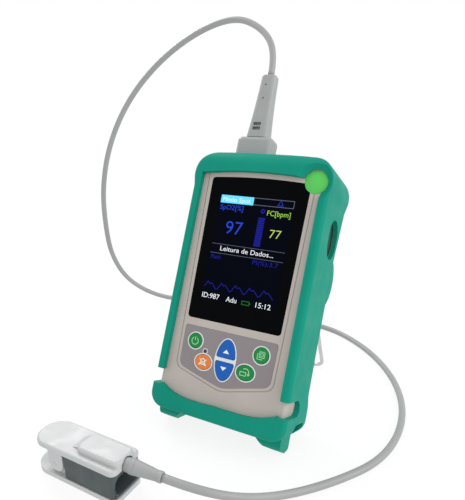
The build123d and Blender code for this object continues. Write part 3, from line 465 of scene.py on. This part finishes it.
def make_display():
    """The lit picture on the display, in layers of ink."""
    show = Layer("display_picture", UNIT)
    face = PICTURE_FACE
    over = face - INK
    show.box((-21.6, 21.6), (-28.8, 28.8), "ink_backlight", face)
    # status bar
    show.box((-20.8, -1.4), (23.9, 28.2), "ink_cyan", over)
    show.stroke([(-1.4, 24.3), (21.2, 24.3), (21.2, 28.0), (-1.4, 28.0)], 0.3, "ink_line", over)
    show.text("Modo Spot", 2.4, -19.8, 24.8, "ink_white", over - INK, 1.1)
    show.stroke([(12.4, 25.1), (15.4, 25.1), (14.9, 25.7), (14.6, 26.8), (13.9, 27.4), (13.2, 26.8), (12.9, 25.7)],
                0.24, "ink_blue", over, closed=True)
    # saturation
    show.text("SpO2[%]", 2.8, -20.6, 20.3, "ink_blue", over, 1.02)
    show.text("97", 7.3, -15.2, 7.3, "ink_blue", over, 1.04, -0.06)
    # pulse
    show.arc((4.9, 21.4), 0.9, 0, 360, 0.7, "ink_violet", over)
    show.text("FC[bpm]", 2.8, 7.2, 19.4, "ink_green", over, 0.96)
    show.text("77", 4.6, 10.5, 7.9, "ink_yellow", over, 1.08, -0.04)
    # message between two lines
    for z in (1.3, -3.7):
        show.stroke([(-21.0, z), (21.0, z)], 0.22, "ink_line", over)
    show.text("Leitura de Dados...", 2.6, -15.8, -2.1, "ink_white", over, 1.13)
    # trace
    show.text("Pleth", 2.3, -20.4, -6.9, "ink_violet", over, 0.98)
    show.text("PI(%):3.7", 2.4, 4.2, -6.9, "ink_violet", over, 1.25)
    left, right, beat_width = -20.6, 20.6, 8.2
    beat = [(0, -22.4), (1.7, -19.4), (3.0, -20.7), (4.1, -20.1), (7.2, -23.2)]
    trace = [(left + cycle * beat_width + x, z) for cycle in range(5) for x, z in beat]
    show.stroke([point for point in trace if point[0] < right], 0.4, "ink_violet", over)
    # foot of the picture
    show.text("ID:987", 2.8, -21.2, -28.3, "ink_white", over, 1.02)
    show.text("Adu", 2.8, -6.4, -28.4, "ink_white", over, 0.98)
    show.stroke([(2.9, -28.3), (7.0, -28.3), (7.0, -26.5), (2.9, -26.5)], 0.45, "ink_leaf", over, closed=True)
    show.box((7.2, 7.8), (-27.8, -27.0), "ink_leaf", over)
    show.text("15:12", 2.8, 9.9, -28.5, "ink_white", over, 1.08)
    show.build("unit")


def make_row_tree():
    """Geometry nodes that stand a number of equal boxes in a row going up."""
    tree = bpy.data.node_groups.new("row_of_boxes", "GeometryNodeTree")
    for label, kind in (("Geometry", "Geometry"), ("Count", "Int"), ("Pitch", "Float"), ("Size", "Vector"),
                        ("Material", "Material")):
        tree.interface.new_socket(label, in_out="INPUT", socket_type="NodeSocket" + kind)
    tree.interface.new_socket("Geometry", in_out="OUTPUT", socket_type="NodeSocketGeometry")
    given, result = tree.nodes.new("NodeGroupInput"), tree.nodes.new("NodeGroupOutput")
    line = tree.nodes.new("GeometryNodeMeshLine")
    step = tree.nodes.new("ShaderNodeCombineXYZ")
    box = tree.nodes.new("GeometryNodeMeshCube")
    copies = tree.nodes.new("GeometryNodeInstanceOnPoints")
    solid = tree.nodes.new("GeometryNodeRealizeInstances")
    coat = tree.nodes.new("GeometryNodeSetMaterial")
    for start, end in (
        (given.outputs["Count"], line.inputs["Count"]), (given.outputs["Pitch"], step.inputs["Z"]),
        (step.outputs[0], line.inputs["Offset"]), (given.outputs["Size"], box.inputs["Size"]),
        (line.outputs["Mesh"], copies.inputs["Points"]), (box.outputs["Mesh"], copies.inputs["Instance"]),
        (copies.outputs["Instances"], solid.inputs["Geometry"]), (solid.outputs["Geometry"], coat.inputs["Geometry"]),
        (given.outputs["Material"], coat.inputs["Material"]), (coat.outputs["Geometry"], result.inputs["Geometry"]),
    ):
        tree.links.new(start, end)
    return tree


def row_of_boxes(name, tree, count, pitch, size, material, place):
    """A finished piece with the row's lowest box at a place."""
    holder = put(name, bpy.data.meshes.new(name))
    row = holder.modifiers.new("row", "NODES")
    row.node_group = tree
    values = {"Count": count, "Pitch": pitch, "Size": size, "Material": material}
    for socket in tree.interface.items_tree:
        if socket.in_out == "INPUT" and socket.name in values:
            row[socket.identifier] = values[socket.name]
    mesh = evaluated_mesh(holder)
    mesh.name = name
    mesh.transform(place)
    bpy.data.objects.remove(holder)
    return put(name, mesh)


def make_pulse_bar():
    """The column of bars between the two numbers, its lowest one given by its middle."""
    count, pitch = 13, 1.19 * MM
    size = Vector((3.7, INK, 0.98)) * MM
    lowest = Vector((5.0, PICTURE_FACE - 1.5 * INK, 3.1)) * MM
    bar = row_of_boxes("pulse_bar", make_row_tree(), count, pitch, size, MATERIALS["ink_violet"],
                       UNIT @ Matrix.Translation(lowest))
    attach(bar, "unit")


def make_key_symbols():
    """The pale symbols printed on the keys, each riding on its own key."""
    face = SYMBOL_FACE
    power = Layer("symbol_power", UNIT)
    x, z = -19.2, -52.0
    power.arc((x, z - 0.1), 1.9, 122, 418, 0.42, "symbol_green", face)
    power.stroke([(x, z + 0.2), (x, z + 2.3)], 0.42, "symbol_green", face)
    power.build("key_power")

    pages = Layer("symbol_display", UNIT)
    x, z = 19.2, -51.6
    pages.stroke([(x - 0.9, z + 1.9), (x + 1.9, z + 1.9), (x + 1.9, z - 1.0), (x - 0.9, z - 1.0)], 0.34, "symbol_green",
                 face, closed=True)
    pages.stroke([(x - 1.5, z + 0.7), (x - 1.9, z + 0.7), (x - 1.9, z - 2.0), (x + 0.7, z - 2.0), (x + 0.7, z - 1.6)],
                 0.34, "symbol_green", face)
    pages.arc((x + 0.5, z + 0.45), 0.8, 0, 360, 0.3, "symbol_green", face)
    pages.build("key_display")

    menu = Layer("symbol_menu", UNIT)
    x, z = 12.3, -62.0
    menu.stroke([(x - 2.6, z - 1.5), (x - 2.6, z + 0.3), (x + 0.6, z + 0.3), (x + 0.6, z - 1.5)], 0.36, "symbol_green",
                face, closed=True)
    menu.arc((x + 0.2, z + 0.2), 2.0, -20, 130, 0.42, "symbol_green", face)
    menu.shape([(x + 1.2, z - 0.2), (x + 2.9, z - 0.2), (x + 2.05, z - 1.4)][::-1], "symbol_green", face)
    menu.build("key_menu")

    mute = Layer("symbol_mute", UNIT)
    x, z = -12.3, -62.0
    mute.stroke([(x - 1.9, z - 1.2), (x + 1.9, z - 1.2), (x + 1.3, z - 0.4), (x + 1.1, z + 1.1), (x, z + 1.9),
                 (x - 1.1, z + 1.1), (x - 1.3, z - 0.4)], 0.4, "symbol", face, closed=True)
    mute.stroke([(x - 2.2, z + 1.6), (x + 2.2, z - 1.9)], 0.34, "symbol", face - INK)
    mute.stroke([(x + 2.2, z + 1.6), (x - 2.2, z - 1.9)], 0.34, "symbol", face - INK)
    mute.build("key_alarm_mute")

    for name, sign in (("up", 1), ("down", -1)):
        arrow = Layer("symbol_" + name, UNIT)
        z = -58.3 + sign * 4.4
        points = [(-1.8, z - sign * 0.9), (1.8, z - sign * 0.9), (0, z + sign * 1.1)]
        arrow.shape(points if sign > 0 else points[::-1], "symbol", face)
        arrow.build("key_" + name)


# ---------------------------------------------------------------- cord
# Control points in mm, from the plug's top round the back of the unit to the clip's strain relief.
CORD_ROUTE = [
    (0.97, 74.21, 183.26), (0.97, 80.48, 196.89),
    (-12, 91, 211), (-35, 100, 220), (-65, 101.5, 213), (-95, 98, 195), (-120, 93, 169),
    (-135, 87, 138), (-142, 84, 106), (-146, 88, 76), (-153, 100, 46), (-152, 117, 18.5), (-132, 130, 2.6),
    (-99, 135, 1.9), (-59, 134, 1.9), (-15, 137, 1.9), (27, 139, 1.9), (59, 120, 1.9),
    (83, 92, 1.9), (97, 61, 1.9), (101, 30, 1.9), (96, 2, 1.9), (82, -20, 1.9),
    (64, -40, 1.9), (48, -58, 8), (31.58, -69.7, 15.93), (16.6, -70.33, 16.32),
]
CORD_DIAMETER = 0.0038
CORD_SIDES = 20
MAP_PER_METRE = 100


def smooth_line(points):
    """Points along the cord's own curve, read from a spline that has the route as its control points."""
    data = bpy.data.curves.new("cord_line", "CURVE")
    data.dimensions = "3D"
    spline = data.splines.new("NURBS")
    spline.points.add(len(points) - 1)
    for knot, point in zip(spline.points, points):
        knot.co = (*(Vector(point) * MM), 1)
    spline.order_u = 3
    spline.use_endpoint_u = True
    spline.resolution_u = 10
    holder = put("cord_line", data)
    mesh = evaluated_mesh(holder)
    line = [vertex.co.copy() for vertex in mesh.vertices]
    bpy.data.objects.remove(holder)
    bpy.data.curves.remove(data)
    bpy.data.meshes.remove(mesh)
    return line


def tube_mesh(name, line, radius):
    """A closed tube round a line, with a map that runs along it."""
    tube = bmesh.new()
    map_layer = tube.loops.layers.uv.new("along")
    ahead = (line[1] - line[0]).normalized()
    side = ahead.orthogonal().normalized()
    rings, travelled = [], [0.0]
    for i, point in enumerate(line):
        after = line[min(i + 1, len(line) - 1)]
        before = line[max(i - 1, 0)]
        now = (after - before).normalized()
        side = (ahead.rotation_difference(now) @ side).normalized()
        side = (side - now * side.dot(now)).normalized()
        ahead = now
        other = now.cross(side)
        ring = []
        for k in range(CORD_SIDES):
            angle = 2 * math.pi * k / CORD_SIDES
            ring.append(tube.verts.new(point + (side * math.cos(angle) + other * math.sin(angle)) * radius))
        rings.append(ring)
        if i:
            travelled.append(travelled[-1] + (point - line[i - 1]).length)
    for i in range(len(rings) - 1):
        for k in range(CORD_SIDES):
            j = (k + 1) % CORD_SIDES
            face = tube.faces.new((rings[i][k], rings[i][j], rings[i + 1][j], rings[i + 1][k]))
            face.smooth = True
            spots = ((travelled[i], k), (travelled[i], k + 1), (travelled[i + 1], k + 1), (travelled[i + 1], k))
            for loop, (along, turn) in zip(face.loops, spots):
                loop[map_layer].uv = (along * MAP_PER_METRE, turn / CORD_SIDES)
    tube.faces.new(rings[0][::-1])
    tube.faces.new(rings[-1])
    mesh = bpy.data.meshes.new(name)
    tube.to_mesh(mesh)
    tube.free()
    return mesh


def make_cord():
    line = smooth_line(CORD_ROUTE)
    mesh = tube_mesh("cord_jacket", line, CORD_DIAMETER / 2)
    mesh.materials.append(MATERIALS["cord"])
    cord = put("cord_jacket", mesh)
    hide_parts("sensor_cord")
    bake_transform(cord)


make_camera()
make_world()
make_table()
dress_nodes()
make_display()
make_pulse_bar()
make_key_symbols()
make_cord()
